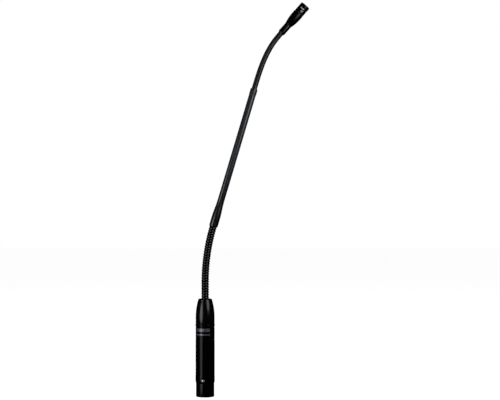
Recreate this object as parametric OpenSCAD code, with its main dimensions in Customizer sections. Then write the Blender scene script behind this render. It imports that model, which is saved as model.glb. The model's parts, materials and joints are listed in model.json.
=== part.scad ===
// Gooseneck podium microphone: an XLR preamplifier base, a two-section gooseneck with a
// rigid middle tube, and a slim capsule head with an interchangeable cartridge.
// Millimetres. The origin is the centre of the XLR nose's rim, +Z runs up the base,
// and the neck leans towards +X.

/* [XLR nose] */
// Outside diameter of the XLR nose shell
nose_d = 18.25; // [18:0.05:18.5]
// Inside diameter of the XLR socket
socket_d = 16; // [15.8:0.1:16.2]
// Length of the nose below the housing
nose_len = 13.6; // [13:0.1:14]
// Diameter of a contact pin
pin_d = 2.4; // [2.3:0.05:2.5]
// Distance of each contact pin from the axis
pin_circle_r = 4.75; // [4.5:0.05:5]
// How far the pin tips sit inside the rim
pin_recess = 1.2; // [0.8:0.1:2]

/* [Preamp housing] */
// Diameter of the lip at the foot of the housing
lip_d = 19.3; // [19.2:0.05:19.5]
// Diameter of the housing's long lower stretch
housing_d = 19.1; // [19:0.05:19.2]
// Diameter of the housing's upper stretch
housing_top_d = 18.95; // [18.8:0.05:19]
// Height at which the housing ends
housing_top = 69; // [67:0.5:70]
// Bore of the housing
housing_bore = 16.8; // [16.6:0.1:17]
// Head diameter of the retaining screw
screw_head_d = 3; // [2.6:0.1:3.2]
// Angle of the retaining screw round the base
screw_turn = 11; // [0:0.5:40]

/* [Top cap] */
// Diameter of the ring between housing and cap
ring_d = 19.5; // [19.2:0.05:19.8]
// Height at which the cap starts
cap_foot = 72.6; // [72.4:0.1:74]
// Diameter of the cap
cap_d = 18.9; // [18.6:0.1:19]
// Height at which the cap begins to curve in
cap_curve_foot = 79.4; // [78:0.2:82]
// Height of the flat top
cap_top = 97.6; // [97:0.2:98]
// Radius of the cap's long curve
cap_curve_r = 60; // [55:1:70]
// Rounding of the cap's top edge
cap_edge_r = 1.3; // [1:0.1:1.4]

/* [Lower gooseneck] */
// Diameter of the lower gooseneck
lower_d = 7.15; // [7:0.05:7.3]
// Length of the lower gooseneck along its middle
lower_len = 73; // [70:0.5:76]
// Straight stretch before the lower gooseneck leans
lower_straight = 17; // [10:0.5:36]
// Lean of the middle tube from upright
lower_lean = 16.6; // [10:0.2:20]
// Ridges of winding on one sleeve
lower_ridges = 3; // [2:1:4]

/* [Middle tube] */
// Diameter of the middle tube
tube_d = 6.85; // [6.7:0.05:7]
// Length of the middle tube with both of its ends
tube_len = 143.4; // [120:0.2:160]
// Diameter of the ferrule at the tube's lower end
ferrule_d = 8.7; // [8.4:0.1:9]
// Length of the ferrule before it tapers
ferrule_straight = 9; // [8:0.5:11]
// Length of the ferrule
ferrule_len = 26; // [20:1:28]
// Diameter of the collar at the tube's upper end
collar_d = 7.1; // [7:0.05:7.4]
// Length of the collar at the tube's upper end
collar_len = 6; // [4:0.5:8]

/* [Upper gooseneck] */
// Diameter of the upper gooseneck
upper_d = 5.35; // [5.3:0.05:5.5]
// Length of the upper gooseneck along its middle
upper_len = 62.5; // [60:0.5:66]
// Further lean along the upper gooseneck
upper_lean = 24.9; // [15:0.1:30]
// How late the upper gooseneck curls, where 1 is an even curve
upper_curl = 2.1; // [1:0.05:3]
// Straight stretch at the upper gooseneck's end
upper_straight = 4; // [0:0.5:10]
// Ridges of winding on one sleeve
upper_ridges = 3; // [2:1:4]

/* [Capsule head] */
// Diameter of the head's rear collar
head_collar_d = 7.1; // [7:0.05:7.3]
// Length of the head's rear collar
head_collar_len = 10.8; // [10:0.1:14]
// Diameter of the capsule housing
head_d = 10.44; // [10.2:0.02:10.6]
// Length of the housing's flare
flare_len = 12.2; // [9:0.1:13]
// Length of the housing from the collar to its front
head_len = 15.8; // [14:0.1:17]
// Diameter of the cartridge
cartridge_d = 10.15; // [10:0.05:10.2]
// Length of the cartridge in front of the housing
cartridge_len = 10.4; // [10:0.1:11]
// Width of a slot in the cartridge
slot_w = 0.9; // [0.6:0.1:1]
// Slots in each ring round the cartridge
slot_count = 4; // [3:1:5]

/* [Hidden] */
$fn = 64;

// Gooseneck sleeves: foot, 8 links and head make 9 pivots
links = 8;
pivots = links + 1;
face_tilt = 10;        // slope of a sleeve's end, so that a pivot has room to turn
face_gap = 0.3;        // gap between neighbouring sleeves on the axis
ridge_depth = 0.28;
lower_bore = 3.6;
upper_bore = 2.8;
lower_step = lower_len / pivots;
upper_step = upper_len / pivots;

// Where the winding ends inside the pieces it is fixed in
tube_seat = ferrule_straight - 1;
tube_bore = 5.2;
tube_spigot = 8;

// Cable inside the neck
lower_cable_d = 2.6;
upper_cable_d = 2.0;
cable_gap = 0.1;
cable_foot = 80;       // height at which the cable's jacket starts, inside the cap

// XLR nose and what it holds
nose_edge_r = 0.9;
insert_foot = 14;
insert_top = 19;
shell_top = 21;
key_foot = 3;
shell_spigot_d = 17.2;
key_w = 2.4;
key_depth = 0.7;
tip_r = 0.8;
tail_d = 1.7;         // solder tail of a contact pin
pin_top = 24;
cup_depth = 3;
cup_d = 1.1;
pin_angles = [30, 150, 270];
screw_z = 16.3;
screw_shank_d = 1.9;
screw_tip = 6.6;
screw_seat = 8.75;
screw_face = 9.62;
screw_reach = 5;       // reach of the holes cut for the screw
tab_t = 0.4;
tab_w = 2.4;

// Housing outline
lip_foot = 15.5;
lip_top = 20.2;
lip_end = 21;
step_z = 55;

// Circuit board
wire_d = 1;
board_w = 14;
board_t = 1.2;
board_foot = 27;
board_top = 63;
sleeve_foot = 24.6;
sleeve_top = 65;
sleeve_wall = 0.35;

// Ring and cap
band_foot = 0.5;       // heights on the ring, above the housing
ridge_foot = 1.5;
ridge_top = 3.3;
ring_edge = 0.1;
spigot_foot = 66;
cap_bore = 13.2;
cap_plate = 88;        // height of the underside of the cap's solid top
bushing_d = 9.2;
bushing_step = 93;
bushing_neck_d = 8.2;
bushing_foot = 83.6;
bushing_bore = 6.6;
nut_h = 3.4;
nut_across = 12.4;
grommet_top = 88;

// Head
spigot_bore = 4.9;     // bore of the head collar, and of the housing's rear spigot outside
spigot_len = 9;
housing_bore_d = 8.4;
bore_foot = 19;        // rear wall of the housing's bore, from the neck's end
head_front = head_collar_len + head_len;
cartridge_front = head_front + cartridge_len;
socket_top = bore_foot + 1.4;
contact_stem_d = 1.2;
contact_d = 2;
gasket_gap = 0.05;
gasket_t = 0.3;
gasket_d = 9.8;
cartridge_rear = head_front + gasket_t + 2 * gasket_gap;
chamber_foot = cartridge_rear + 1;
thread_d = 8.3;
thread_len = 4.2;
shell_bore = 8.9;
thread_bore = 7;
// Rings of slots: distance in front of the housing, turn of the first slot and arc of each
slot_rows = [[3.1, 16, 26], [5.6, -1, 54]];
disc_t = 0.8;          // thickness of the disc that closes the thread, and its button behind it
button_t = 0.4;
element_d = 6;
element_len = 2.7;
element_front = cartridge_front - 1.3;
element_rear = element_front - element_len;
foam_t = 0.5;
grille_t = 0.3;
nose_round = 0.6;

// The neck's middle line. Each sleeve is straight, and takes the curve's lean at its own middle.
function lower_angle(s) = lower_lean * max(0, s - lower_straight) / (lower_len - lower_straight);
function upper_angle(s) = lower_lean
    + upper_lean * pow(min(1, s / (upper_len - upper_straight)), upper_curl);
function lower_turns() = [for (k = [0:pivots])
    k == 0 ? 0 : k == pivots ? lower_lean : lower_angle(k * lower_step)];
function upper_turns() = [for (k = [0:pivots])
    k == 0 ? lower_lean : k == pivots ? lower_lean + upper_lean : upper_angle(k * upper_step)];
function dir(a) = [sin(a), cos(a)];

// Pivot k of a chain that starts at p, and the chain's end at k = pivots + 1
function pivot(p, turns, step, k) =
    k == 1 ? p + step / 2 * dir(turns[0])
    : k > pivots ? pivot(p, turns, step, pivots) + step / 2 * dir(turns[pivots])
    : pivot(p, turns, step, k - 1) + step * dir(turns[k - 1]);

lower_start = [0, cap_top];
lower_end = pivot(lower_start, lower_turns(), lower_step, pivots + 1);
upper_start = lower_end + tube_len * dir(lower_lean);
upper_end = pivot(upper_start, upper_turns(), upper_step, pivots + 1);
head_lean = lower_lean + upper_lean;

// --- Helpers ---

// A ring or tube from height z0 to z1, with outer and inner diameters
module tube(z0, z1, d, bore) {
    translate([0, 0, z0]) difference() {
        cylinder(h = z1 - z0, d = d);
        translate([0, 0, -1]) cylinder(h = z1 - z0 + 2, d = bore);
    }
}

// Places its children at a point of the neck's middle line, with +Z along the neck
module at(p, turn) {
    translate([p[0], 0, p[1]]) rotate([0, turn, 0]) children();
}

module in_head() { at(upper_end, head_lean) children(); }
module in_tube() { at(lower_end, lower_lean) children(); }

// Height of a sleeve's sloped end at radius r, for an end whose pivot is at height z
function end_z(z, r) = z - face_gap / 2 - r * tan(face_tilt);

// One turn of winding after another, from height z0 to z1, as outline points
function ridges(r, z0, z1, n) = let (p = (z1 - z0) / n) [
    for (i = [0:n - 1]) each [
        [r - ridge_depth, z0 + i * p], [r, z0 + (i + 0.3) * p], [r, z0 + (i + 0.7) * p]],
    [r - ridge_depth, z1]];

// A sleeve between two pivots at heights -step/2 and step/2
module link(d, bore, step, n) {
    r = d / 2;
    rb = bore / 2;
    z_out = end_z(step / 2, r - ridge_depth);
    z_in = end_z(step / 2, rb);
    rotate_extrude() polygon(concat([[rb, -z_in]], ridges(r, -z_out, z_out, n), [[rb, z_in]]));
}

// The neck's fixed end: ridged from height 0 to its pivot, with a plain spigot below it
module neck_end(d, bore, step, n, spigot_d, spigot) {
    r = d / 2;
    rb = bore / 2;
    rs = spigot_d / 2;
    z_out = end_z(step / 2, r - ridge_depth);
    z_in = end_z(step / 2, rb);
    rotate_extrude() polygon(concat(
        [[rb, -spigot], [rs, -spigot], [rs, 0]], ridges(r, 0, z_out, n), [[rb, z_in]]));
}

module lower_link(k) {
    color("dimgray") at((pivot(lower_start, lower_turns(), lower_step, k)
        + pivot(lower_start, lower_turns(), lower_step, k + 1)) / 2, lower_turns()[k])
        link(lower_d, lower_bore, lower_step, lower_ridges);
}

module upper_link(k) {
    color("dimgray") at((pivot(upper_start, upper_turns(), upper_step, k)
        + pivot(upper_start, upper_turns(), upper_step, k + 1)) / 2, upper_turns()[k])
        link(upper_d, upper_bore, upper_step, upper_ridges);
}

// A round cable of 8 sides through a list of points in the XZ plane, with a lean for each
module cable(points, turns, d) {
    n = len(points);
    sides = 8;
    rings = [for (i = [0:n - 1]) for (j = [0:sides - 1]) let (
        a = 360 * j / sides, u = d / 2 * cos(a), v = d / 2 * sin(a))
        [points[i][0] + u * cos(turns[i]), v, points[i][1] - u * sin(turns[i])]];
    walls = [for (i = [0:n - 2]) for (j = [0:sides - 1]) let (
        a = i * sides + j, b = i * sides + (j + 1) % sides)
        [a, a + sides, b + sides, b]];
    foot = [for (j = [0:sides - 1]) j];
    top = [for (j = [sides - 1:-1:0]) (n - 1) * sides + j];
    polyhedron(points = rings, faces = concat([foot], walls, [top]));
}

// --- XLR nose ---

module xlr_shell() {
    r = nose_d / 2;
    rb = socket_d / 2;
    rs = shell_spigot_d / 2;
    color("black") difference() {
        union() {
            rotate_extrude() polygon(concat([[rb, 0]],
                [for (a = [0:15:90]) [r - nose_edge_r + nose_edge_r * sin(a),
                    nose_edge_r - nose_edge_r * cos(a)]],
                [[r, nose_len], [rs, nose_len], [rs, shell_top], [rb, shell_top]]));
            // key rib inside the socket
            translate([-key_w / 2, rb - key_depth, key_foot])
                cube([key_w, key_depth + 0.5, insert_foot - key_foot]);
        }
        screw_hole(screw_shank_d);
    }
}

// Turns a shape that lies along +X to the screw's place
module at_screw() {
    translate([0, 0, screw_z]) rotate([0, 0, -90 - screw_turn]) rotate([0, 90, 0]) children();
}

module screw_hole(d) {
    at_screw() translate([0, 0, screw_tip]) cylinder(h = screw_reach, d = d);
}

module xlr_insert() {
    color("black") difference() {
        translate([0, 0, insert_foot]) cylinder(h = insert_top - insert_foot, d = socket_d);
        for (a = pin_angles) rotate([0, 0, a]) translate([pin_circle_r, 0, insert_foot - 1])
            cylinder(h = insert_top - insert_foot + 2, d = tail_d);
        screw_hole(screw_shank_d);
    }
}

module contact_pin(n) {
    r = pin_d / 2;
    color("gold") rotate([0, 0, pin_angles[n - 1]]) translate([pin_circle_r, 0, 0])
        difference() {
            rotate_extrude() polygon(concat([[0, pin_recess]],
                [for (a = [0:15:90]) [r - tip_r + tip_r * sin(a),
                    pin_recess + tip_r - tip_r * cos(a)]],
                [[r, insert_foot], [tail_d / 2, insert_foot], [tail_d / 2, pin_top],
                    [0, pin_top]]));
            translate([0, 0, pin_top - cup_depth]) cylinder(h = cup_depth + 1, d = cup_d);
        }
}

// Leaf that joins pin 1 to the shell
module ground_tab() {
    reach = socket_d / 2 - pin_circle_r;
    lug = 0.8;
    color("goldenrod") rotate([0, 0, pin_angles[0]]) intersection() {
        translate([0, 0, insert_top]) cylinder(h = shell_top - insert_top, d = socket_d);
        translate([pin_circle_r, 0, insert_top]) difference() {
            union() {
                cylinder(h = tab_t, d = tail_d + 2 * lug);
                translate([0, -tab_w / 2, 0]) cube([reach, tab_w, tab_t]);
                translate([reach - lug, -tab_w / 2, 0]) cube([lug, tab_w, shell_top - insert_top]);
            }
            translate([0, 0, -1]) cylinder(h = 4, d = tail_d);
        }
    }
}

module retaining_screw() {
    blade_w = 0.5;
    blade_d = 0.4;
    color("silver") at_screw() difference() {
        union() {
            translate([0, 0, screw_tip]) cylinder(h = screw_seat - screw_tip, d = screw_shank_d);
            translate([0, 0, screw_seat])
                cylinder(h = screw_face - screw_seat, d = screw_head_d);
        }
        translate([-screw_head_d, -blade_w / 2, screw_face - blade_d])
            cube([2 * screw_head_d, blade_w, 1]);
    }
}

// Wires from the pins' solder cups to the board's lower edge
module pin_leads() {
    bare = 1;           // bare end of the wire above the cup
    color("firebrick") for (a = pin_angles) rotate([0, 0, a]) translate([pin_circle_r, 0, 0]) {
        translate([0, 0, pin_top - cup_depth]) cylinder(h = cup_depth + bare, d = cup_d);
        translate([0, 0, pin_top + bare]) cylinder(h = board_foot + 1 - pin_top - bare, d = wire_d);
    }
}

// --- Preamp housing ---

module preamp_housing() {
    r0 = nose_d / 2 + 0.05;
    rl = lip_d / 2;
    rh = housing_d / 2;
    rt = housing_top_d / 2;
    rb = housing_bore / 2;
    rs = shell_spigot_d / 2;
    color("black") difference() {
        rotate_extrude() polygon([
            [rs, nose_len], [r0, nose_len], [rl, lip_foot], [rl, lip_top], [rh, lip_end],
            [rh, step_z], [rt, step_z + 1], [rt, housing_top - 0.4], [rt - 0.3, housing_top],
            [rb, housing_top], [rb, shell_top], [rs, shell_top]]);
        screw_hole(screw_shank_d);
        at_screw() translate([0, 0, screw_seat]) cylinder(h = screw_reach, d = screw_head_d);
    }
}

module insulating_sleeve() {
    d = housing_bore - 0.1;
    color("ivory") tube(sleeve_foot, sleeve_top, d, d - 2 * sleeve_wall);
}

module preamp_board() {
    color("darkgreen") translate([-board_w / 2, -board_t / 2, board_foot])
        cube([board_w, board_t, board_top - board_foot]);
}

// Two upright cans and a flat film capacitor
module board_capacitors() {
    can_d = 5;
    can_h = 8.5;
    can_foot = 46;
    film = [7.2, 2.6, 5];
    film_foot = 50;
    color("navy") {
        for (x = [-3.2, 3.2]) translate([x, -board_t / 2 - can_d / 2, can_foot])
            cylinder(h = can_h, d = can_d);
        translate([-film[0] / 2, board_t / 2, film_foot]) cube(film);
    }
}

// Flat-faced cases on the back of the board
module board_transistors() {
    case_d = 4.6;
    case_h = 4.6;
    flat = 0.6;         // distance of the round side's axis from the flat
    color("dimgray") for (z = [33, 41]) translate([0, board_t / 2, z]) intersection() {
        translate([0, flat, 0]) cylinder(h = case_h, d = case_d);
        translate([-case_d / 2, 0, 0]) cube([case_d, case_d, case_h]);
    }
}

module board_resistors() {
    body_d = 2.2;
    body_h = 5.5;
    color("tan") for (x = [-4.4, 0, 4.4], z = [31, 38])
        translate([x, -board_t / 2 - body_d / 2, z]) cylinder(h = body_h, d = body_d);
}

// Wires from the board up to the end of the cable's jacket
module lead_wires() {
    color("white") for (x = [-0.6, 0.6]) translate([x, 0, board_top])
        cylinder(h = cable_foot - board_top, d = wire_d);
}

// --- Ring and cap ---

module joint_ring() {
    rb = housing_bore / 2;
    rc = cap_d / 2;
    rr = ring_d / 2;
    groove = rc - 0.15;
    z = housing_top;
    color("black") rotate_extrude() polygon([
        [rb, z], [groove, z], [groove, z + band_foot], [rc, z + band_foot + ring_edge],
        [rc, z + ridge_foot], [rr - ring_edge, z + ridge_foot + ring_edge],
        [rr, z + ridge_foot + 4 * ring_edge], [rr, z + ridge_top - 4 * ring_edge],
        [rr - ring_edge, z + ridge_top - ring_edge], [groove, z + ridge_top],
        [groove, cap_foot], [rb, cap_foot]]);
}

module top_cap() {
    rc = cap_d / 2;
    rb = cap_bore / 2;
    edge_z = cap_top - cap_edge_r;
    function cap_r(z) = rc - cap_curve_r
        + sqrt(pow(cap_curve_r, 2) - pow(z - cap_curve_foot, 2));
    color("black") rotate_extrude() polygon(concat(
        [[rb, spigot_foot], [housing_bore / 2, spigot_foot], [housing_bore / 2, cap_foot],
            [rc, cap_foot]],
        [for (i = [0:10]) let (z = cap_curve_foot + (edge_z - cap_curve_foot) * i / 10)
            [cap_r(z), z]],
        [for (a = [15:15:90]) [cap_r(edge_z) - cap_edge_r * (1 - cos(a)),
            edge_z + cap_edge_r * sin(a)]],
        [[bushing_d / 2, cap_top], [bushing_d / 2, bushing_step],
            [bushing_neck_d / 2, bushing_step], [bushing_neck_d / 2, cap_plate],
            [rb, cap_plate]]));
}

module neck_bushing() {
    color("silver") rotate_extrude() polygon([
        [bushing_bore / 2, bushing_foot], [bushing_neck_d / 2, bushing_foot],
        [bushing_neck_d / 2, bushing_step], [bushing_d / 2, bushing_step],
        [bushing_d / 2, cap_top], [bushing_bore / 2, cap_top]]);
}

module bushing_locknut() {
    color("silver") translate([0, 0, cap_plate - nut_h]) difference() {
        cylinder(h = nut_h, d = nut_across, $fn = 6);
        translate([0, 0, -1]) cylinder(h = nut_h + 2, d = bushing_neck_d);
    }
}

module neck_grommet() {
    color("dimgray") tube(bushing_foot, grommet_top, bushing_bore, lower_cable_d);
}

// --- Lower gooseneck ---

module lower_neck_foot() {
    color("dimgray") translate([0, 0, cap_top])
        neck_end(lower_d, lower_bore, lower_step, 1, bushing_bore, cap_top - grommet_top);
}

module lower_neck_head() {
    color("dimgray") in_tube() mirror([0, 0, 1])
        neck_end(lower_d, lower_bore, lower_step, 1, bushing_bore, tube_seat);
}

module lower_neck_cable() {
    turns = lower_turns();
    ks = [1:pivots];
    tube_end = lower_end + (tube_seat - cable_gap) * dir(lower_lean);
    color("black") cable(
        concat([[0, cable_foot], lower_start],
            [for (k = ks) pivot(lower_start, turns, lower_step, k)], [lower_end, tube_end]),
        concat([0, 0], [for (k = ks) (turns[k - 1] + turns[k]) / 2], [lower_lean, lower_lean]),
        lower_cable_d);
}

// --- Middle tube ---

module tube_lower_ferrule() {
    r = ferrule_d / 2;
    rt = tube_d / 2;
    edge = 0.08;        // thickness of the taper's thin end
    taper = ferrule_len - ferrule_straight;
    color("black") in_tube() rotate_extrude() polygon(concat(
        [[bushing_bore / 2, 0], [r - 0.3, 0], [r, 0.5]],
        [for (i = [0:10]) [rt + edge + (r - rt - edge) * (1 + cos(18 * i)) / 2,
            ferrule_straight + taper * i / 10]],
        [[rt, ferrule_len], [rt, tube_seat], [bushing_bore / 2, tube_seat]]));
}

module middle_tube() {
    color("black") in_tube() tube(tube_seat, tube_len, tube_d, tube_bore);
}

module tube_upper_collar() {
    r = collar_d / 2;
    foot = tube_len - collar_len;
    color("black") in_tube() rotate_extrude() polygon([
        [tube_d / 2, foot], [r - 0.1, foot], [r, foot + 0.2], [r, tube_len - 0.2],
        [r - 0.1, tube_len], [tube_d / 2, tube_len]]);
}

module middle_cable() {
    color("black") in_tube() {
        translate([0, 0, tube_seat])
            cylinder(h = tube_len - tube_seat - tube_spigot, d = lower_cable_d);
        translate([0, 0, tube_len - tube_spigot])
            cylinder(h = tube_spigot - cable_gap, d = upper_cable_d);
    }
}

// --- Upper gooseneck ---

module upper_neck_foot() {
    color("dimgray") in_tube() translate([0, 0, tube_len])
        neck_end(upper_d, upper_bore, upper_step, 1, tube_bore, tube_spigot);
}

module upper_neck_head() {
    color("dimgray") in_head() mirror([0, 0, 1])
        neck_end(upper_d, upper_bore, upper_step, 1, spigot_bore, spigot_len);
}

module upper_neck_cable() {
    turns = upper_turns();
    ks = [1:pivots];
    socket_end = upper_end + (bore_foot - cable_gap) * dir(head_lean);
    color("black") cable(
        concat([upper_start], [for (k = ks) pivot(upper_start, turns, upper_step, k)],
            [upper_end, socket_end]),
        concat([lower_lean], [for (k = ks) (turns[k - 1] + turns[k]) / 2],
            [head_lean, head_lean]),
        upper_cable_d);
}

// --- Capsule head ---

module head_collar() {
    r = head_collar_d / 2;
    rb = spigot_bore / 2;
    color("black") in_head() rotate_extrude() polygon([
        [rb, 0], [r - 0.4, 0], [r, 0.7], [r, head_collar_len - 0.2],
        [r - 0.15, head_collar_len], [rb, head_collar_len]]);
}

module capsule_housing() {
    r0 = head_collar_d / 2;
    r1 = head_d / 2;
    rise = r1 - r0;
    curve_r = (rise * rise + flare_len * flare_len) / (2 * rise);
    rb = housing_bore_d / 2;
    hole = upper_bore / 2;
    color("black") in_head() rotate_extrude() polygon(concat(
        [[hole, spigot_len], [spigot_bore / 2, spigot_len], [spigot_bore / 2, head_collar_len]],
        [for (i = [0:10]) let (down = flare_len * (1 - i / 10))
            [r1 - curve_r + sqrt(curve_r * curve_r - down * down),
                head_collar_len + flare_len - down]],
        [[r1, head_front - 0.25], [r1 - 0.2, head_front], [rb, head_front], [rb, bore_foot],
            [hole, bore_foot]]));
}

// Insulating disc at the back of the housing's bore
module cartridge_socket() {
    color("ivory") in_head() tube(bore_foot, socket_top, housing_bore_d, contact_stem_d);
}

module socket_contact() {
    color("gold") in_head() {
        translate([0, 0, bore_foot]) cylinder(h = socket_top - bore_foot, d = contact_stem_d);
        translate([0, 0, socket_top]) cylinder(h = 1.3, d = contact_d);
    }
}

module cartridge_gasket() {
    foot = head_front + gasket_gap;
    color("black") in_head() tube(foot, foot + gasket_t, gasket_d, thread_d + 2 * gasket_gap);
}

// --- Cartridge ---

module cartridge_shell() {
    r = cartridge_d / 2;
    rb = shell_bore / 2;
    rt = thread_d / 2;
    rh = thread_bore / 2;
    color("black") in_head() difference() {
        rotate_extrude() polygon(concat(
            [[rh, head_front - thread_len], [rt, head_front - thread_len],
                [rt, cartridge_rear], [r - 0.1, cartridge_rear], [r, cartridge_rear + 0.15]],
            [for (a = [0:15:90]) [r - nose_round * (1 - cos(a)),
                cartridge_front - nose_round + nose_round * sin(a)]],
            [[rb, cartridge_front], [rb, chamber_foot], [rh, chamber_foot]]));
        for (row = slot_rows, i = [0:slot_count - 1])
            translate([0, 0, head_front + row[0] - slot_w / 2])
                rotate([0, 0, 360 * i / slot_count + row[1] - row[2] / 2])
                rotate_extrude(angle = row[2]) translate([rb - 0.3, 0]) square([2, slot_w]);
    }
}

module cartridge_contact() {
    color("gold") in_head() translate([0, 0, head_front - thread_len]) {
        cylinder(h = disc_t, d = thread_bore);
        translate([0, 0, -button_t]) cylinder(h = button_t, d = contact_d);
    }
}

module element_leads() {
    lead_d = 0.6;
    foot = head_front - thread_len + disc_t;
    color("firebrick") in_head() for (x = [-1, 1]) translate([x, 0, foot])
        cylinder(h = element_rear - foot, d = lead_d);
}

// Cloth behind the slots
module acoustic_sleeve() {
    color("gray") in_head() tube(chamber_foot, element_rear, shell_bore, shell_bore - 0.5);
}

module element_boot() {
    color("black") in_head() tube(element_rear, element_front, shell_bore, element_d);
}

module condenser_element() {
    color("silver") in_head() translate([0, 0, element_rear])
        cylinder(h = element_len, d = element_d);
}

module foam_disc() {
    color("black") in_head() translate([0, 0, element_front])
        cylinder(h = foam_t, d = shell_bore);
}

module front_grille() {
    hole_d = 0.7;
    color("dimgray") in_head() translate([0, 0, element_front + foam_t]) difference() {
        cylinder(h = grille_t, d = shell_bore);
        for (i = [0:2]) rotate([0, 0, 60 * i]) for (x = [-2.4, 0, 2.4], y = [-1.2, 1.2])
            translate([x, y, -1]) cylinder(h = grille_t + 2, d = hole_d);
    }
}

module retaining_ring() {
    opening = 7.6;
    color("black") in_head()
        tube(element_front + foam_t + grille_t, cartridge_front, shell_bore, opening);
}

// --- Show ---

xlr_shell();
xlr_insert();
contact_pin(1);  // contact_pin_1
contact_pin(2);  // contact_pin_2
contact_pin(3);  // contact_pin_3
ground_tab();
retaining_screw();
pin_leads();
preamp_housing();
insulating_sleeve();
preamp_board();
board_capacitors();
board_transistors();
board_resistors();
lead_wires();
joint_ring();
top_cap();
neck_bushing();
bushing_locknut();
neck_grommet();
lower_neck_foot();
lower_link(1);  // lower_neck_link_1
lower_link(2);  // lower_neck_link_2
lower_link(3);  // lower_neck_link_3
lower_link(4);  // lower_neck_link_4
lower_link(5);  // lower_neck_link_5
lower_link(6);  // lower_neck_link_6
lower_link(7);  // lower_neck_link_7
lower_link(8);  // lower_neck_link_8
lower_neck_head();
lower_neck_cable();
tube_lower_ferrule();
middle_tube();
tube_upper_collar();
middle_cable();
upper_neck_foot();
upper_link(1);  // upper_neck_link_1
upper_link(2);  // upper_neck_link_2
upper_link(3);  // upper_neck_link_3
upper_link(4);  // upper_neck_link_4
upper_link(5);  // upper_neck_link_5
upper_link(6);  // upper_neck_link_6
upper_link(7);  // upper_neck_link_7
upper_link(8);  // upper_neck_link_8
upper_neck_head();
upper_neck_cable();
head_collar();
capsule_housing();
cartridge_socket();
socket_contact();
cartridge_gasket();
cartridge_shell();
cartridge_contact();
element_leads();
acoustic_sleeve();
element_boot();
condenser_element();
foam_disc();
front_grille();
retaining_ring();
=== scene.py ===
"""Looks of the gooseneck podium microphone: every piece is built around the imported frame."""
import json
import math

import bpy
from mathutils import Matrix, Vector

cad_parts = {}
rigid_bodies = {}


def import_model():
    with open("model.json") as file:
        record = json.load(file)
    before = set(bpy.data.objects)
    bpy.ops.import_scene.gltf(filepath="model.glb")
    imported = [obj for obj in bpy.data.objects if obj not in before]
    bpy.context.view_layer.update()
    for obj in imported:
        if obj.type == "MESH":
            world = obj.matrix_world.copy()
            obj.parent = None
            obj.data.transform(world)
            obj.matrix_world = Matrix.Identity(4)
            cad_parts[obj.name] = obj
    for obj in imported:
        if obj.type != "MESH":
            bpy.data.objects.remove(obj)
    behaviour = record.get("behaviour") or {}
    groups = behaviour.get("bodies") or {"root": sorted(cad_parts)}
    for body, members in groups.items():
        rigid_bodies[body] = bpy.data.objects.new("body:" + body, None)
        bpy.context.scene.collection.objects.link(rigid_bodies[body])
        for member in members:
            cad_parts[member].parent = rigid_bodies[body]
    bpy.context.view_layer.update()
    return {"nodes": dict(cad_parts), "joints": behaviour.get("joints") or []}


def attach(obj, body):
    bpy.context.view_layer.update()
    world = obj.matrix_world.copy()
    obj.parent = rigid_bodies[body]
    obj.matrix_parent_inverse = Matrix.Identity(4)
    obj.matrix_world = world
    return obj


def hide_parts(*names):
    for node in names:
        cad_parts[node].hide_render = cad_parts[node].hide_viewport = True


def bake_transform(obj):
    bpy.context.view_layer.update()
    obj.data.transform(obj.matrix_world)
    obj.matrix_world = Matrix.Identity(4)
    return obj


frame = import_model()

MM = 0.001
NODES = frame["nodes"]
JOINTS = {j["name"]: j for j in frame["joints"]}

# Round pieces: segments round the axis, steps in a rounded corner and along a curved outline
ROUND = 96
CORNER_STEPS = 4
OUTLINE_STEPS = 24
SMOOTH_BELOW = math.radians(34)

# Base (mm): heights of its pieces, the radius of its body and the bore that they share
NOSE_TOP = 13.6
SHELL_TOP = 21
RING_FOOT = 69.0
CAP_FOOT = 72.6
BODY_R = 9.475
BASE_BORE = 8.42

# Goosenecks (mm). r is the outside of the wire, which has its own radius, and share is the part
# of a turn that it covers before the groove.
WINDING_COLUMNS = 48
RINGS_PER_TURN = 18
CABLE_COLUMNS = 16
CABLE_STEPS = 6
CABLE_END_R = 0.05
BORE_EVERY = 6          # the bore has one ring for this many rings of winding
GROOVE_SHADE_SHARE = 0.7      # deeper than this share of the groove, faces take the painted groove shade
LOWER_NECK = dict(r=3.80, bore=1.85, pitch=2.6, wire=1.5, share=0.70, groove=0.45,
                  cable_r=1.25)
UPPER_NECK = dict(r=2.75, bore=1.45, pitch=1.3, wire=2.6, share=0.84, groove=0.12,
                  cable_r=0.95)
# Radius and length of the plain end at each neck's foot and top
LOWER_FOOT, LOWER_TOP = (3.3, 9.5), (3.3, 7.9)
UPPER_FOOT, UPPER_TOP = (2.6, 7.9), (2.45, 8.9)
# How far each cable runs past the foot and top of its winding
CABLE_FOOT_Z = 80
LOWER_CABLE_TOP = 7.9
UPPER_CABLE_ENDS = (0, 18.9)

# Middle tube and head (mm)
TUBE_R = 3.425
TUBE_SEAT = 8.0
SLEEVE_R = 3.55
SLEEVE_LEN = 10.8
HEAD_R = 5.22
HEAD_FRONT = 26.6


# --- Frame: the axes that everything is placed on ---

def chain(first_body, last_body):
    """The pivots from one body up to another, in order, and the bodies along the way."""
    by_child = {j["child"]: j for j in frame["joints"]}
    pivots, bodies = [], [last_body]
    while bodies[0] != first_body:
        joint = by_child[bodies[0]]
        pivots.insert(0, Vector(joint["pos_m"]))
        bodies.insert(0, joint["parent"])
    return pivots, bodies


def along(origin, direction):
    """A local frame at origin with +Z along direction, leaning in the XZ plane."""
    lean = math.atan2(direction.x, direction.z)
    return Matrix.Translation(origin) @ Matrix.Rotation(lean, 4, "Y")


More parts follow.
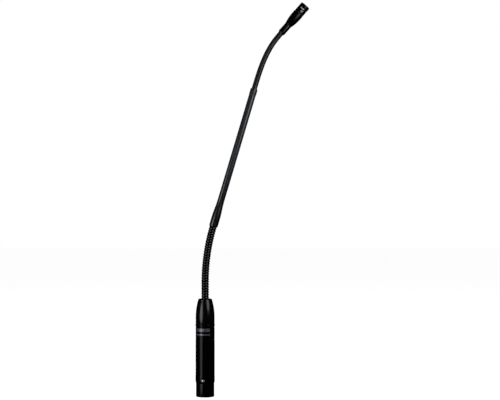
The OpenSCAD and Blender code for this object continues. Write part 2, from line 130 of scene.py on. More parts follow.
LOWER_PIVOTS, LOWER_BODIES = chain("base", "mid")
UPPER_PIVOTS, UPPER_BODIES = chain("mid", "head")
LOWER_HALF = (LOWER_PIVOTS[1] - LOWER_PIVOTS[0]).length / 2
UPPER_HALF = (UPPER_PIVOTS[1] - UPPER_PIVOTS[0]).length / 2
UP = Vector((0, 0, 1))
TUBE_DIR = (UPPER_PIVOTS[0] - LOWER_PIVOTS[-1]).normalized()
HEAD_DIR = Vector(JOINTS["gasket_slide"]["axis"]).normalized()
LOWER_START = LOWER_PIVOTS[0] - UP * LOWER_HALF
LOWER_END = LOWER_PIVOTS[-1] + TUBE_DIR * LOWER_HALF
UPPER_START = UPPER_PIVOTS[0] - TUBE_DIR * UPPER_HALF
UPPER_END = UPPER_PIVOTS[-1] + HEAD_DIR * UPPER_HALF

AT_BASE = Matrix.Identity(4)
AT_TUBE = along(LOWER_END, TUBE_DIR)
AT_HEAD = along(UPPER_END, HEAD_DIR)

CAP_TOP = LOWER_START.z / MM
TUBE_LEN = (UPPER_START - LOWER_END).length / MM


# --- Materials ---

def node(tree, kind, **inputs):
    n = tree.nodes.new(kind)
    for name, value in inputs.items():
        n.inputs[name.replace("_", " ")].default_value = value
    return n


def grain(tree, scale, detail=3.0, stretch=(1, 1, 1)):
    """Noise over the object's own coordinates, in features per metre."""
    coords = tree.nodes.new("ShaderNodeTexCoord")
    mapping = node(tree, "ShaderNodeMapping", Scale=stretch)
    noise = node(tree, "ShaderNodeTexNoise", Scale=scale, Detail=detail)
    tree.links.new(coords.outputs["Object"], mapping.inputs["Vector"])
    tree.links.new(mapping.outputs["Vector"], noise.inputs["Vector"])
    return noise.outputs["Fac"]


def spread(tree, factor, low, high):
    """Maps a noise factor to a range of values."""
    ramp = node(tree, "ShaderNodeMapRange", From_Min=0.3, From_Max=0.7, To_Min=low, To_Max=high)
    tree.links.new(factor, ramp.inputs["Value"])
    return ramp.outputs["Result"]


def tint(tree, factor, dark, light):
    """Mixes two colours by a noise factor."""
    ramp = tree.nodes.new("ShaderNodeValToRGB")
    ramp.color_ramp.elements[0].position = 0.35
    ramp.color_ramp.elements[0].color = (*dark, 1)
    ramp.color_ramp.elements[1].position = 0.65
    ramp.color_ramp.elements[1].color = (*light, 1)
    tree.links.new(factor, ramp.inputs["Fac"])
    return ramp.outputs["Color"]


def paint_shade_by_height(tree, colour, z0, z1, share):
    """Painted shade: scales a colour by height in the object's own coordinates, in millimetres.
    """
    coords = tree.nodes.new("ShaderNodeTexCoord")
    split = tree.nodes.new("ShaderNodeSeparateXYZ")
    ramp = node(tree, "ShaderNodeMapRange", From_Min=z0 * MM, From_Max=z1 * MM, To_Min=share,
                To_Max=1.0)
    scale = tree.nodes.new("ShaderNodeVectorMath")
    scale.operation = "SCALE"
    tree.links.new(coords.outputs["Object"], split.inputs["Vector"])
    tree.links.new(split.outputs["Z"], ramp.inputs["Value"])
    tree.links.new(colour, scale.inputs[0])
    tree.links.new(ramp.outputs["Result"], scale.inputs["Scale"])
    return scale.outputs[0]


def surface(name, dark, light, rough, metallic=0.0, grain_scale=3500, grain_depth=0.004,
            patch_scale=260, stretch=(1, 1, 1), sheen=0.0, specular=0.5, painted_shade=None):
    """A finish with patches of colour and gloss, and a fine grain that raises the surface.
    rough is the lowest and highest roughness, and grain_depth is in millimetres. The last
    argument, (z0, z1, share), is painted shade: the colour falls to that share of itself from
    height z1 down to z0."""
    m = bpy.data.materials.new(name)
    m.use_nodes = True
    tree = m.node_tree
    shader = tree.nodes["Principled BSDF"]
    shader.inputs["Metallic"].default_value = metallic
    shader.inputs["Sheen Weight"].default_value = sheen
    shader.inputs["Specular IOR Level"].default_value = specular
    patches = grain(tree, patch_scale, 4.0, stretch)
    fine = grain(tree, grain_scale, 2.0, stretch)
    colour = tint(tree, patches, dark, light)
    if painted_shade:
        colour = paint_shade_by_height(tree, colour, *painted_shade)
    tree.links.new(colour, shader.inputs["Base Color"])
    tree.links.new(spread(tree, patches, *rough), shader.inputs["Roughness"])
    bump = node(tree, "ShaderNodeBump", Strength=1.0, Distance=grain_depth * MM)
    tree.links.new(fine, bump.inputs["Height"])
    tree.links.new(bump.outputs["Normal"], shader.inputs["Normal"])
    return m


BODY = surface("black_body", (0.0006, 0.0006, 0.0007), (0.0012, 0.0012, 0.0014), (0.15, 0.20),
               specular=0.17, grain_depth=0.0015)
CAP = surface("black_cap", (0.0007, 0.0008, 0.0009), (0.0014, 0.0015, 0.0017), (0.19, 0.24),
              specular=0.58, grain_depth=0.002)
NOSE = surface("black_nose", (0.0007, 0.0007, 0.0008), (0.0014, 0.0014, 0.0016), (0.17, 0.24),
               specular=0.19, grain_depth=0.002)
# The tube's colour is partly its own dark grey and partly a painted sheen; it is faded darker
# towards the foot (12 to 66 mm) as painted shade.
TUBE = surface("black_tube", (0.036, 0.043, 0.051), (0.050, 0.058, 0.068), (0.22, 0.28),
               specular=0.9, grain_depth=0.003, painted_shade=(12, 66, 0.2))
HEAD = surface("head_black", (0.0006, 0.0006, 0.0007), (0.0012, 0.0012, 0.0014), (0.18, 0.26),
               specular=0.5, grain_depth=0.002)
WIRE = surface("neck_winding", (0.0006, 0.0007, 0.0008), (0.0014, 0.0015, 0.0017), (0.12, 0.16),
               specular=0.9, grain_scale=5000, grain_depth=0.002, patch_scale=700)
SLEEVE = surface("neck_sleeve", (0.008, 0.008, 0.009), (0.014, 0.014, 0.015),
                 (0.24, 0.30), specular=0.8, grain_scale=5000, grain_depth=0.003,
                 patch_scale=700)
# Painted shade: a darker, duller finish for the faces deep in the grooves between turns of
# winding.
GROOVE_PAINTED_SHADE = surface("neck_groove_painted_shade", (0.0002, 0.0002, 0.0002), (0.0005, 0.0005, 0.0005),
                 (0.6, 0.7), specular=0.05, grain_depth=0.002, patch_scale=700)
PRINT = surface("print_grey", (0.24, 0.26, 0.30), (0.32, 0.34, 0.38), (0.30, 0.38),
                metallic=0.45, grain_scale=5000, grain_depth=0.003, patch_scale=900)
NICKEL = surface("nickel", (0.80, 0.79, 0.77), (0.90, 0.89, 0.87), (0.34, 0.42), metallic=1.0,
                 grain_depth=0.002)
GOLD = surface("gold", (0.76, 0.55, 0.20), (0.86, 0.67, 0.32), (0.18, 0.28), metallic=1.0,
               grain_depth=0.002)
BRASS = surface("brass", (0.60, 0.44, 0.19), (0.72, 0.56, 0.28), (0.28, 0.42), metallic=1.0)
STEEL = surface("steel", (0.030, 0.030, 0.032), (0.055, 0.055, 0.058), (0.30, 0.42),
                metallic=1.0)
PLASTIC = surface("insert_plastic", (0.012, 0.012, 0.012), (0.022, 0.022, 0.022), (0.42, 0.55),
                  grain_depth=0.01)
BOARD = surface("board_green", (0.012, 0.10, 0.045), (0.020, 0.15, 0.07), (0.35, 0.5))
CASE = surface("part_plastic", (0.02, 0.02, 0.022), (0.04, 0.04, 0.045), (0.45, 0.6))
CAN = surface("can_blue", (0.02, 0.035, 0.16), (0.04, 0.06, 0.24), (0.25, 0.35))
TAN = surface("resistor_tan", (0.45, 0.33, 0.19), (0.60, 0.46, 0.29), (0.3, 0.45))
IVORY = surface("sleeve_ivory", (0.62, 0.57, 0.46), (0.74, 0.69, 0.58), (0.55, 0.7))
RED = surface("wire_red", (0.32, 0.03, 0.025), (0.45, 0.05, 0.04), (0.35, 0.5))
WHITE = surface("wire_white", (0.62, 0.62, 0.60), (0.75, 0.75, 0.72), (0.35, 0.5))
JACKET = surface("cable_black", (0.010, 0.010, 0.010), (0.018, 0.018, 0.018), (0.5, 0.65),
                 grain_depth=0.01)
RUBBER = surface("rubber_black", (0.010, 0.010, 0.010), (0.020, 0.020, 0.020), (0.6, 0.75),
                 grain_depth=0.012)
FOAM = surface("foam_black", (0.006, 0.006, 0.006), (0.020, 0.020, 0.020), (0.85, 0.95),
               grain_scale=2200, grain_depth=0.12, patch_scale=2200, sheen=0.2)
# Pale cloth: a real part whose lightness also stands in for the glints in the slots, a painted
# glint.
GAUZE_PAINTED_GLINT = surface("cloth_grey", (0.70, 0.70, 0.70), (0.86, 0.86, 0.85), (0.40, 0.55),
                metallic=0.1, grain_scale=4200, grain_depth=0.02, patch_scale=4200)
MESH = surface("mesh_black", (0.04, 0.04, 0.042), (0.08, 0.08, 0.083), (0.32, 0.45),
               metallic=1.0)


# --- Building blocks ---

def rounded(corners):
    """Outline points through (r, z, rounding) corners, with each corner a short curve."""
    n = len(corners)
    points = []
    for i, (r, z, bevel) in enumerate(corners):
        here = Vector((r, z))
        back = Vector(corners[i - 1][:2]) - here
        ahead = Vector(corners[(i + 1) % n][:2]) - here
        size = min(bevel, back.length * 0.45, ahead.length * 0.45)
        if size < 1e-4:
            points.append((r, z))
            continue
        a = here + back.normalized() * size
        b = here + ahead.normalized() * size
        for step in range(CORNER_STEPS + 1):
            t = step / CORNER_STEPS
            p = a * (1 - t) ** 2 + here * 2 * t * (1 - t) + b * t ** 2
            points.append((p.x, p.y))
    return points


def make(name, verts, faces, material, place=AT_BASE):
    """A smooth-shaded mesh object. Its corners are in millimetres in the frame at place."""
    mesh = bpy.data.meshes.new(name)
    mesh.from_pydata([tuple(c * MM for c in v) for v in verts], [], faces)
    mesh.validate()
    mesh.polygons.foreach_set("use_smooth", [True] * len(mesh.polygons))
    mesh.set_sharp_from_angle(angle=SMOOTH_BELOW)
    mesh.materials.append(material)
    obj = bpy.data.objects.new(name, mesh)
    obj.matrix_world = place
    bpy.context.scene.collection.objects.link(obj)
    return obj


def lathe(name, outline, material, place=AT_BASE, segments=ROUND):
    """Turns a closed outline of (r, z) points. Points on the axis become one corner each."""
    verts, rings = [], []
    for r, z in outline:
        if r < 1e-6:
            rings.append([len(verts)] * segments)
            verts.append((0, 0, z))
            continue
        rings.append(list(range(len(verts), len(verts) + segments)))
        for i in range(segments):
            a = 2 * math.pi * i / segments
            verts.append((r * math.cos(a), r * math.sin(a), z))
    faces = []
    for k, ring in enumerate(rings):
        after = rings[(k + 1) % len(rings)]
        for i in range(segments):
            j = (i + 1) % segments
            face = list(dict.fromkeys((ring[i], ring[j], after[j], after[i])))
            if len(face) > 2:
                faces.append(face)
    return make(name, verts, faces, material, place)


def stands_for(obj, body, slot, *nodes):
    """The piece rides on a body and stands for these CAD nodes. slot is not used."""
    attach(obj, body)
    if nodes:
        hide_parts(*nodes)
    return obj


def cut(obj, cutter, edge=0.0):
    """Cuts one mesh with another and eases the cut's edges by that many millimetres."""
    tool = obj.modifiers.new("cut", "BOOLEAN")
    tool.operation = "DIFFERENCE"
    tool.solver = "EXACT"
    tool.object = cutter
    if edge:
        ease = obj.modifiers.new("ease", "BEVEL")
        ease.width = edge * MM
        ease.segments = 2
        ease.limit_method = "ANGLE"
        ease.angle_limit = math.radians(40)
    bpy.context.view_layer.update()
    done = bpy.data.meshes.new_from_object(obj.evaluated_get(
        bpy.context.evaluated_depsgraph_get()))
    obj.modifiers.clear()
    obj.data = done
    done.polygons.foreach_set("use_smooth", [True] * len(done.polygons))
    done.set_sharp_from_angle(angle=SMOOTH_BELOW)
    bpy.data.objects.remove(cutter)
    return obj


def box(low, high):
    """Corners and faces of a box."""
    verts = [(x, y, z) for x in (low[0], high[0]) for y in (low[1], high[1])
             for z in (low[2], high[2])]
    faces = [(0, 1, 3, 2), (4, 6, 7, 5), (0, 4, 5, 1), (2, 3, 7, 6), (0, 2, 6, 4), (1, 5, 7, 3)]
    return verts, faces


def arc_block(verts, faces, r0, r1, z0, z1, a0, a1, steps=12):
    """Adds a closed block between two radii, two heights and two angles."""
    foot = len(verts)
    for i in range(steps + 1):
        a = a0 + (a1 - a0) * i / steps
        for r, z in ((r0, z0), (r1, z0), (r1, z1), (r0, z1)):
            verts.append((r * math.cos(a), r * math.sin(a), z))
    for i in range(steps):
        p, q = foot + 4 * i, foot + 4 * (i + 1)
        for j in range(4):
            k = (j + 1) % 4
            faces.append((p + k, p + j, q + j, q + k))
    end = foot + 4 * steps
    faces.append((foot, foot + 1, foot + 2, foot + 3))
    faces.append((end + 3, end + 2, end + 1, end))


# --- Base ---

def base():
    """The plug's nose with its key, and the housing above it."""
    nose_r, nose_bore, spigot_r = 9.125, 8.0, 8.6
    stands_for(lathe("nose_shell", rounded([
        (nose_bore, 0, 0.35), (nose_r, 0, 1.0), (nose_r, NOSE_TOP, 0.1),
        (spigot_r, NOSE_TOP, 0.05), (spigot_r, SHELL_TOP, 0.1), (nose_bore, SHELL_TOP, 0.1)]),
        NOSE), "base", "black_nose", "xlr_shell")
    key_low, key_high = (-1.2, 7.3, 3), (1.2, 8.1, 14)
    stands_for(make("nose_key", *box(key_low, key_high), NOSE), "base", "black_nose")

    socket_r, foot_r, lip_r, lower_r = 8.62, 9.18, 9.65, 9.55
    lip_foot, lip_top, waist_foot, waist_top = 15.5, 20.2, 55, 56.5
    shoulder, top = SHELL_TOP + 0.02, RING_FOOT - 0.05
    housing = lathe("housing_tube", rounded([
        (socket_r, NOSE_TOP, 0.05), (foot_r, NOSE_TOP, 0.12), (lip_r, lip_foot, 0.5),
        (lip_r, lip_top, 0.2), (lower_r, lip_top + 0.8, 0.3), (lower_r, waist_foot, 2),
        (BODY_R, waist_top, 2), (BODY_R, top, 0.35), (BASE_BORE, top, 0.05),
        (BASE_BORE, shoulder, 0.02), (socket_r, shoulder, 0.02)]), BODY)
    stands_for(housing, "base", "black_body")
    return housing


def joint_ring():
    """The ring between housing and cap: a neck, a band, and a ridge that stands proud."""
    neck_r, band_r, ridge_foot_r, ridge_r, ridge_top_r = 9.3, 9.45, 9.66, 9.75, 9.6
    foot = RING_FOOT
    stands_for(lathe("ring", rounded([
        (BASE_BORE, foot, 0.02), (neck_r, foot, 0.1), (neck_r, foot + 0.5, 0.1),
        (band_r, foot + 0.65, 0.1), (band_r, foot + 1.5, 0.08),
        (ridge_foot_r, foot + 1.6, 0.15), (ridge_r, foot + 1.9, 0.2),
        (ridge_r, foot + 2.9, 0.25), (ridge_top_r, foot + 3.2, 0.1),
        (neck_r, foot + 3.3, 0.05), (neck_r, CAP_FOOT, 0.02), (BASE_BORE, CAP_FOOT, 0.02)]),
        BODY), "base", "black_body", "joint_ring")


def cap():
    """The cap: straight at its foot, then an arc inwards and a round edge at its top."""
    r, curve_foot, curve_r, edge_r = 9.45, 79.4, 60.0, 1.3
    edge_z = CAP_TOP - edge_r
    edge_steps = 8

    def at(z):
        return r - curve_r + math.sqrt(curve_r ** 2 - (z - curve_foot) ** 2)

    side = [(at(z), z) for z in
            (curve_foot + (edge_z - curve_foot) * i / OUTLINE_STEPS
             for i in range(OUTLINE_STEPS + 1))]
    corner = [(at(edge_z) - edge_r * (1 - math.cos(a)), edge_z + edge_r * math.sin(a))
              for a in (math.pi / 2 * i / edge_steps for i in range(1, edge_steps + 1))]
    inner_r, spigot_r, spigot_foot = 6.6, 8.4, 66
    foot = [(inner_r, spigot_foot), (spigot_r, spigot_foot), (spigot_r, CAP_FOOT),
            (9.2, CAP_FOOT), (9.38, CAP_FOOT + 0.06), (r, CAP_FOOT + 0.25)]
    hole_r, seat_r, hole_foot, seat_foot = 4.6, 4.1, 93.0, 88.0
    hole = [(hole_r + 0.15, CAP_TOP), (hole_r + 0.05, CAP_TOP - 0.08), (hole_r, CAP_TOP - 0.25),
            (hole_r, hole_foot), (seat_r, hole_foot), (seat_r, seat_foot), (inner_r, seat_foot)]
    stands_for(lathe("cap", foot + side + corner + hole, CAP), "base", "black_body", "top_cap")


def screw(housing):
    """A slotted screw in the housing's foot."""
    turn, height, r = math.radians(-90 - 11), 16.3, 1.5
    stem_r, stem_end, seat, face = 0.95, 6.6, 8.75, 9.62
    dome_rise, dome_steps, segments = 0.42, 6, 48
    slot_half, slot_depth, gap = 0.16, 0.1, 0.06
    rest = [1 - t / dome_steps for t in range(1, dome_steps + 1)]
    dome = [(r * share, face + dome_rise * (1 - share ** 2), 0) for share in rest]
    place = Matrix.Translation((0, 0, height * MM)) @ Matrix.Rotation(turn, 4, "Z") \
        @ Matrix.Rotation(math.pi / 2, 4, "Y")
    head = lathe("screw", rounded([
        (0, stem_end, 0), (stem_r, stem_end, 0.1), (stem_r, seat, 0.02), (r, seat, 0.02),
        (r, face, 0.02)] + dome), NICKEL, place, segments)
    blade = make("blade", *box((-2, -slot_half, face - slot_depth), (2, slot_half, face + 1)),
                 NICKEL, place)
    cut(head, blade, 0.03)
    stands_for(head, "base", "nickel", "retaining_screw")
    hole = lathe("hole", [(0, 5), (r + gap, 5), (r + gap, 12), (0, 12)], BODY, place, segments)
    cut(housing, hole, 0.06)
    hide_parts("preamp_housing")


def print_rows():
    """Two plain rows of blocks printed round the housing, in place of any wording."""
    film, steps = 0.02, 4
    middle, span = math.radians(-90 - 16.5), math.radians(98)
    for name, z0, z1, count, share in (("print_upper", 65.3, 68.4, 8, 0.72),
                                       ("print_lower", 61.5, 63.1, 14, 0.66)):
        verts, faces = [], []
        half = span / count * share / 2
        for i in range(count):
            a = middle + span * ((i + 0.5) / count - 0.5)
            arc_block(verts, faces, BODY_R - film, BODY_R + film, z0, z1, a - half, a + half,
                      steps)
        stands_for(make(name, verts, faces, PRINT), "base", "black_body")


# --- Goosenecks ---

def curve_point(a, b, c, t):
    """A point and direction on the curve from a to c that b pulls on."""
    point = a * (1 - t) ** 2 + b * 2 * t * (1 - t) + c * t ** 2
    slope = (b - a) * (1 - t) + (c - b) * t
    return point, slope.normalized()


def tube_faces(rows, columns):
    """Faces between rows of a tube that closes on itself in both directions."""
    faces = []
    for k in range(rows):
        n = (k + 1) % rows
        for i in range(columns):
            j = (i + 1) % columns
            faces.append((k * columns + i, k * columns + j, n * columns + j, n * columns + i))
    return faces


def winding_radius(neck, travelled, angle):
    """Round wire with a groove between its turns, climbing round the neck. travelled is the
    distance along the neck in millimetres."""
    turn = (travelled / neck["pitch"] - angle / (2 * math.pi)) % 1.0
    across = abs(2 * turn - 1)
    if across > neck["share"]:
        return neck["r"] - neck["groove"]
    wire = neck["wire"]
    return neck["r"] - wire + math.sqrt(wire ** 2 - (across * neck["pitch"] / 2) ** 2)


def sweep(name, rows, columns, material):
    """A closed tube through rows of (centre, direction, radius or radius function)."""
    verts, radii = [], []
    side = Vector((0, 1, 0))
    for centre, direction, radius in rows:
        out = side.cross(direction)
        for i in range(columns):
            a = 2 * math.pi * i / columns
            r = radius(a) if callable(radius) else radius
            p = centre / MM + (out * math.cos(a) + side * math.sin(a)) * r
            verts.append(tuple(p))
            radii.append(r)
    return make(name, verts, tube_faces(len(rows), columns), material), radii


def paint_groove_shade(piece, radii, below):
    """Paints shade into the grooves: faces whose corners all lie below a radius take the darker
    groove finish.
    """
    piece.data.materials.append(GROOVE_PAINTED_SHADE)
    for face in piece.data.polygons:
        if all(radii[v] < below for v in face.vertices):
            face.material_index = 1


def across_joint(piece):
    """Bakes the placement of a piece that runs from a to c across the pivot between two bodies
    into its mesh.
    """
    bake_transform(piece)


def gooseneck(name, neck, start, end, pivots, foot, top, cad, cable_ends, finish):
    """One piece of winding and one of cable for each pivot, each bending across its joint.
    foot and top are the radius and length of the plain ends of the winding."""
    middles = [start] + [(p + q) / 2 for p, q in zip(pivots, pivots[1:])] + [end]
    step = (pivots[1] - pivots[0]).length / MM
    count = round(step / neck["pitch"] * RINGS_PER_TURN)
    last = len(pivots) - 1
    for k, pivot in enumerate(pivots):
        a, c = middles[k], middles[k + 1]
        rows = []
        for i in range(count + 1):
            t = i / count
            point, way = curve_point(a, pivot, c, t)
            travelled = (k + t) * step
            rows.append((point, way, lambda angle, s=travelled: winding_radius(neck, s, angle)))
        way_in = curve_point(a, pivot, c, 0)[1]
        way_out = curve_point(a, pivot, c, 1)[1]
        if k == 0:
            root = a - way_in * foot[1] * MM
            rows = [(root, way_in, foot[0]), (a, way_in, foot[0])] + rows
        if k == last:
            tip = c + way_out * top[1] * MM
            rows += [(c, way_out, top[0]), (tip, way_out, top[0])]
        inner = [(p, w, neck["bore"]) for p, w, _ in reversed(rows[::BORE_EVERY] + [rows[-1]])]
        if inner[-1][0] != rows[0][0]:
            inner.append((rows[0][0], rows[0][1], neck["bore"]))
        piece, radii = sweep(f"{name}_winding_{k + 1}", rows + inner, WINDING_COLUMNS, finish)
        paint_groove_shade(piece, radii, neck["r"] - neck["groove"] * GROOVE_SHADE_SHARE)
        across_joint(piece)
        nodes = [f"{cad}_link_{k + 1}"] if k < last else [f"{cad}_head"]
        if k == 0:
            nodes.append(f"{cad}_foot")
        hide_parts(*nodes)

        core = [curve_point(a, pivot, c, i / CABLE_STEPS) for i in range(CABLE_STEPS + 1)]
        if k == 0:
            core.insert(0, (a - way_in * cable_ends[0] * MM, way_in))
        if k == last:
            core.append((c + way_out * cable_ends[1] * MM, way_out))
        rows = [(*core[0], CABLE_END_R)] + [(p, w, neck["cable_r"]) for p, w in core] \
            + [(*core[-1], CABLE_END_R)]
        core_piece, _ = sweep(f"{name}_cable_{k + 1}", rows, CABLE_COLUMNS, JACKET)
        across_joint(core_piece)
        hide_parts(f"{cad}_cable")


# --- Middle tube ---

def middle():
    """The tube, with a teardrop ferrule round its foot and a thin collar round its top."""
    ferrule_r, straight, length, steps = 4.35, 9.0, 26.0, 20
    foot_r, foot_bore, edge, fit_r = 3.9, 3.32, 0.08, TUBE_R + 0.005
    taper = [(TUBE_R + edge + (ferrule_r - TUBE_R - edge)
              * (1 + math.cos(math.pi * i / steps)) / 2,
              straight + (length - straight) * i / steps) for i in range(steps + 1)]
    outline = rounded([(foot_bore, 0, 0.05), (foot_r, 0, 0.15), (ferrule_r, 0.45, 0.5),
                       (ferrule_r, 4, 0)])[:-1] + taper
    outline += [(TUBE_R + 0.03, length + 0.05), (fit_r, length), (fit_r, TUBE_SEAT),
                (foot_bore, TUBE_SEAT)]
    stands_for(lathe("ferrule", outline, TUBE, AT_TUBE), "mid", "black_tube",
               "tube_lower_ferrule")

    bore, tube_top = 2.62, TUBE_LEN - 0.05
    stands_for(lathe("tube", rounded([
        (bore, TUBE_SEAT, 0.05), (TUBE_R, TUBE_SEAT, 0.05), (TUBE_R, tube_top, 0.1),
        (bore, tube_top, 0.1)]), TUBE, AT_TUBE), "mid", "black_tube", "middle_tube")

    collar_r, foot = 3.58, TUBE_LEN - 6
    stands_for(lathe("collar", rounded([
        (fit_r, foot, 0.02), (collar_r, foot, 0.12), (collar_r, TUBE_LEN, 0.12),
        (fit_r, TUBE_LEN, 0.02)]), TUBE, AT_TUBE), "mid", "black_tube",
        "tube_upper_collar")


# --- Head ---

def head():
    """The sleeve on the neck, and the housing that flares out from it in an arc."""
    bore, foot_r = 2.5, 3.15
    stands_for(lathe("head_sleeve", rounded([
        (bore, 0, 0.05), (foot_r, 0, 0.15), (SLEEVE_R, 0.7, 0.5), (SLEEVE_R, SLEEVE_LEN, 0.12),
        (bore, SLEEVE_LEN, 0.02)]), HEAD, AT_HEAD), "head", "head_black", "head_collar")

    flare, socket_r, socket_foot = 12.2, 4.22, 19.0
    cable_bore, spigot_r, spigot_foot = 1.42, 2.44, 9.05
    rise = HEAD_R - SLEEVE_R
    curve_r = (rise ** 2 + flare ** 2) / (2 * rise)
    side = []
    for i in range(OUTLINE_STEPS + 1):
        down = flare * (1 - i / OUTLINE_STEPS)
        side.append((HEAD_R - curve_r + math.sqrt(curve_r ** 2 - down ** 2),
                     SLEEVE_LEN + flare - down))
    side[0] = (SLEEVE_R - 0.05, SLEEVE_LEN + 0.02)
    outline = [(cable_bore, spigot_foot), (spigot_r, spigot_foot),
               (spigot_r, SLEEVE_LEN + 0.01)] + side
    outline += rounded([(HEAD_R, HEAD_FRONT, 0.22), (socket_r, HEAD_FRONT, 0.15),
                        (socket_r, socket_foot, 0.05)])
    outline += [(cable_bore, socket_foot)]
    stands_for(lathe("head_shell", outline, HEAD, AT_HEAD), "head", "head_black",
               "capsule_housing")


# Each ring of slots: distance from the housing's front, turn of its first slot, and half its arc
SLOT_ROWS = ((3.1, -74, 13), (5.6, -91, 27))
SLOT_COUNT = 4
SLOT_W = 1.0
SLOT_STEPS = 16


def slot_blocks(name, r0, r1, gap, turn_gap, material):
    """A block in every slot, from radius r0 to r1, clear of its sides by gap millimetres and
    of its ends by turn_gap degrees."""
    verts, faces = [], []
    for z, turn, half in SLOT_ROWS:
        middle, high = HEAD_FRONT + z, SLOT_W / 2 - gap
        for i in range(SLOT_COUNT):
            a, reach = turn + 360 * i / SLOT_COUNT, half - turn_gap
            arc_block(verts, faces, r0, r1, middle - high, middle + high,
                      math.radians(a - reach), math.radians(a + reach), SLOT_STEPS)
    return make(name, verts, faces, material, AT_HEAD)


def cartridge():
    """The slotted cartridge that screws on to the front, with pale cloth behind its slots whose
    lightness is a painted glint.
    """
    r, bore, length = 5.075, 4.46, 10.4
    rear, tip = HEAD_FRONT + 0.4, HEAD_FRONT + length
    stem_r, stem_bore, stem_foot, shelf = 4.14, 3.5, HEAD_FRONT - 4.2, rear + 1
    shell = lathe("capsule_cap", rounded([
        (stem_bore, stem_foot, 0.05), (stem_r, stem_foot, 0.15), (stem_r, rear, 0.02),
        (r - 0.1, rear, 0.05), (r, rear + 0.15, 0.1), (r, tip - 1.2, 0.1), (r, tip, 0.8),
        (bore, tip, 0.12), (bore, shelf, 0.05), (stem_bore, shelf, 0.05)]), HEAD, AT_HEAD)
    cut(shell, slot_blocks("slots", bore - 0.3, r + 0.5, 0, 0, HEAD), 0.07)
    stands_for(shell, "cartridge", "head_black", "cartridge_shell")
    # Pale cloth just under the slots' mouths, as a painted glint.
    stands_for(slot_blocks("slot_cloth_painted_glint", bore - 0.05, r - 0.1, 0.02, 0.4, GAUZE_PAINTED_GLINT), "cartridge",
               "cloth_grey")
    mesh(tip - 0.65)


def mesh(z):
    """Woven wire across the front of the cartridge, in place of the plain grille disc."""
    pitch, wire_r, reach, sides, steps = 0.55, 0.13, 4.4, 6, 6
    verts, faces = [], []
    count = int(reach / pitch)
    fewest_rings = 2
    for across in (False, True):
        for k in range(-count, count + 1):
            offset = k * pitch
            half = math.sqrt(reach ** 2 - offset ** 2)
            rings = max(fewest_rings, round(2 * half / pitch * steps))
            foot = len(verts)
            for i in range(rings + 1):
                t = -half + 2 * half * i / rings
                lift = wire_r * math.cos(math.pi * (t / pitch + k + across))
                for j in range(sides):
                    a = 2 * math.pi * j / sides
                    u, v = offset + wire_r * math.cos(a), z + lift + wire_r * math.sin(a)
                    verts.append((u, t, v) if across else (t, u, v))
            for i in range(rings):
                for j in range(sides):
                    a, b = foot + i * sides + j, foot + i * sides + (j + 1) % sides
                    faces.append((a, b, b + sides, a + sides))
            last = foot + rings * sides
            faces.append(tuple(range(foot + sides - 1, foot - 1, -1)))
            faces.append(tuple(range(last, last + sides)))
    stands_for(make("front_mesh", verts, faces, MESH, AT_HEAD), "cartridge", "mesh_black",
               "front_grille")


# --- Carried-over CAD pieces ---

def carried():
    """Finishes of the CAD pieces that stay as they are."""
    finishes = {
        "xlr_insert": PLASTIC, "contact_pin_1": GOLD, "contact_pin_2": GOLD,
        "contact_pin_3": GOLD, "ground_tab": BRASS, "pin_leads": RED,
        "insulating_sleeve": IVORY, "preamp_board": BOARD, "board_capacitors": CAN,
        "board_transistors": CASE, "board_resistors": TAN, "lead_wires": WHITE,
        "neck_bushing": STEEL, "bushing_locknut": STEEL, "neck_grommet": RUBBER,
        "middle_cable": JACKET, "cartridge_socket": PLASTIC, "socket_contact": GOLD,
        "cartridge_gasket": RUBBER, "cartridge_contact": GOLD, "element_leads": RED,
        "acoustic_sleeve": GAUZE_PAINTED_GLINT, "element_boot": RUBBER, "condenser_element": NICKEL,
        "foam_disc": FOAM, "retaining_ring": HEAD}
    for name, material in finishes.items():
        slots = NODES[name].data.materials
        slots.clear()
        slots.append(material)


# --- Studio ---

# Camera (m; the sensor in mm). The view is VIEW_WIDTH wide at the object.
CAMERA_DISTANCE = 1.311
VIEW_WIDTH = 0.5
SENSOR = 36.0
VIEW_END = 20
CENTRE = Vector((0.04485, 0, 0.1963))
FLOOR_HALF = 4


def camera():
    """A long lens level with the middle of the object, square to the plane of its lean."""
    data = bpy.data.cameras.new("camera")
    data.sensor_width = SENSOR
    data.lens = SENSOR * CAMERA_DISTANCE / VIEW_WIDTH
    data.clip_end = VIEW_END
    obj = bpy.data.objects.new("camera", data)
    obj.location = CENTRE - Vector((0, CAMERA_DISTANCE, 0))
    obj.rotation_euler = (math.pi / 2, 0, 0)
    bpy.context.scene.collection.objects.link(obj)
    bpy.context.scene.camera = obj


def softbox(name, azimuth, distance, height, width, tall, radiance, aim, shape="RECTANGLE"):
    """A light at an azimuth from the camera's side, positive to the right, facing aim."""
    data = bpy.data.lights.new(name, "AREA")
    data.shape = shape
    data.size = width
    data.size_y = tall
    area = width * tall * (math.pi / 4 if shape == "ELLIPSE" else 1)
    data.energy = radiance * math.pi * area
    obj = bpy.data.objects.new(name, data)
    a = math.radians(azimuth)
    obj.location = (distance * math.sin(a), -distance * math.cos(a), height)
    obj.rotation_euler = (Vector(aim) - obj.location).to_track_quat("-Z", "Y").to_euler()
    obj.visible_camera = False
    bpy.context.scene.collection.objects.link(obj)


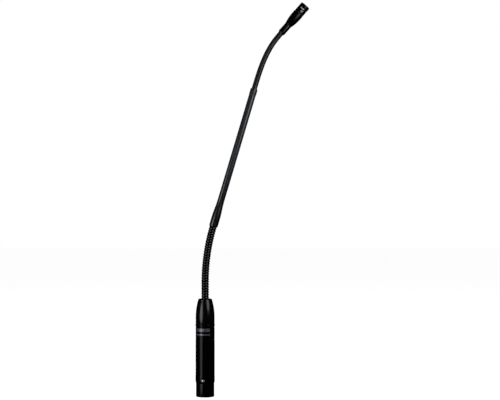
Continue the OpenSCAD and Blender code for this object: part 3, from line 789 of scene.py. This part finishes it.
def studio():
    """A white surround that lights almost nothing, a pale floor, and three soft lights."""
    scene = bpy.context.scene
    scene.view_settings.view_transform = "Standard"
    world = bpy.data.worlds.new("studio")
    world.use_nodes = True
    tree = world.node_tree
    tree.nodes.clear()
    seen = node(tree, "ShaderNodeBackground", Color=(1, 1, 1, 1), Strength=1.0)
    fill = node(tree, "ShaderNodeBackground", Color=(0.9, 0.95, 1, 1), Strength=0.008)
    path = tree.nodes.new("ShaderNodeLightPath")
    mix = tree.nodes.new("ShaderNodeMixShader")
    out = tree.nodes.new("ShaderNodeOutputWorld")
    tree.links.new(path.outputs["Is Camera Ray"], mix.inputs["Fac"])
    tree.links.new(fill.outputs[0], mix.inputs[1])
    tree.links.new(seen.outputs[0], mix.inputs[2])
    tree.links.new(mix.outputs[0], out.inputs["Surface"])
    scene.world = world

    half = FLOOR_HALF / MM
    finish = surface("pale_floor", (0.90, 0.90, 0.90), (0.93, 0.93, 0.93), (0.7, 0.8),
                     grain_depth=0.0)
    floor = make("floor", [(-half, -half, 0), (half, -half, 0), (half, half, 0),
                           (-half, half, 0)], [(0, 1, 2, 3)], finish)
    shader = finish.node_tree.nodes["Principled BSDF"]
    shader.inputs["Emission Color"].default_value = (1, 1, 1, 1)
    shader.inputs["Emission Strength"].default_value = 0.97
    floor.visible_glossy = False
    floor.visible_diffuse = False
    floor.visible_shadow = False

    softbox("key_left", -47, 0.6, 0.11, 0.34, 0.50, 2.4, (0, 0, 0.11), "ELLIPSE")
    softbox("key_right", 44, 0.62, 0.52, 0.46, 0.72, 2.0, (0, 0, 0.52), "ELLIPSE")
    softbox("back", 180, 0.6, 1.2, 0.5, 0.5, 1.5, (0, 0, 0.2))


carried()
print_rows()
screw(base())
joint_ring()
cap()
gooseneck("lower", LOWER_NECK, LOWER_START, LOWER_END, LOWER_PIVOTS, LOWER_FOOT,
          LOWER_TOP, "lower_neck", (CAP_TOP - CABLE_FOOT_Z, LOWER_CABLE_TOP), WIRE)
middle()
gooseneck("upper", UPPER_NECK, UPPER_START, UPPER_END, UPPER_PIVOTS, UPPER_FOOT,
          UPPER_TOP, "upper_neck", UPPER_CABLE_ENDS, SLEEVE)
head()
cartridge()
camera()
studio()
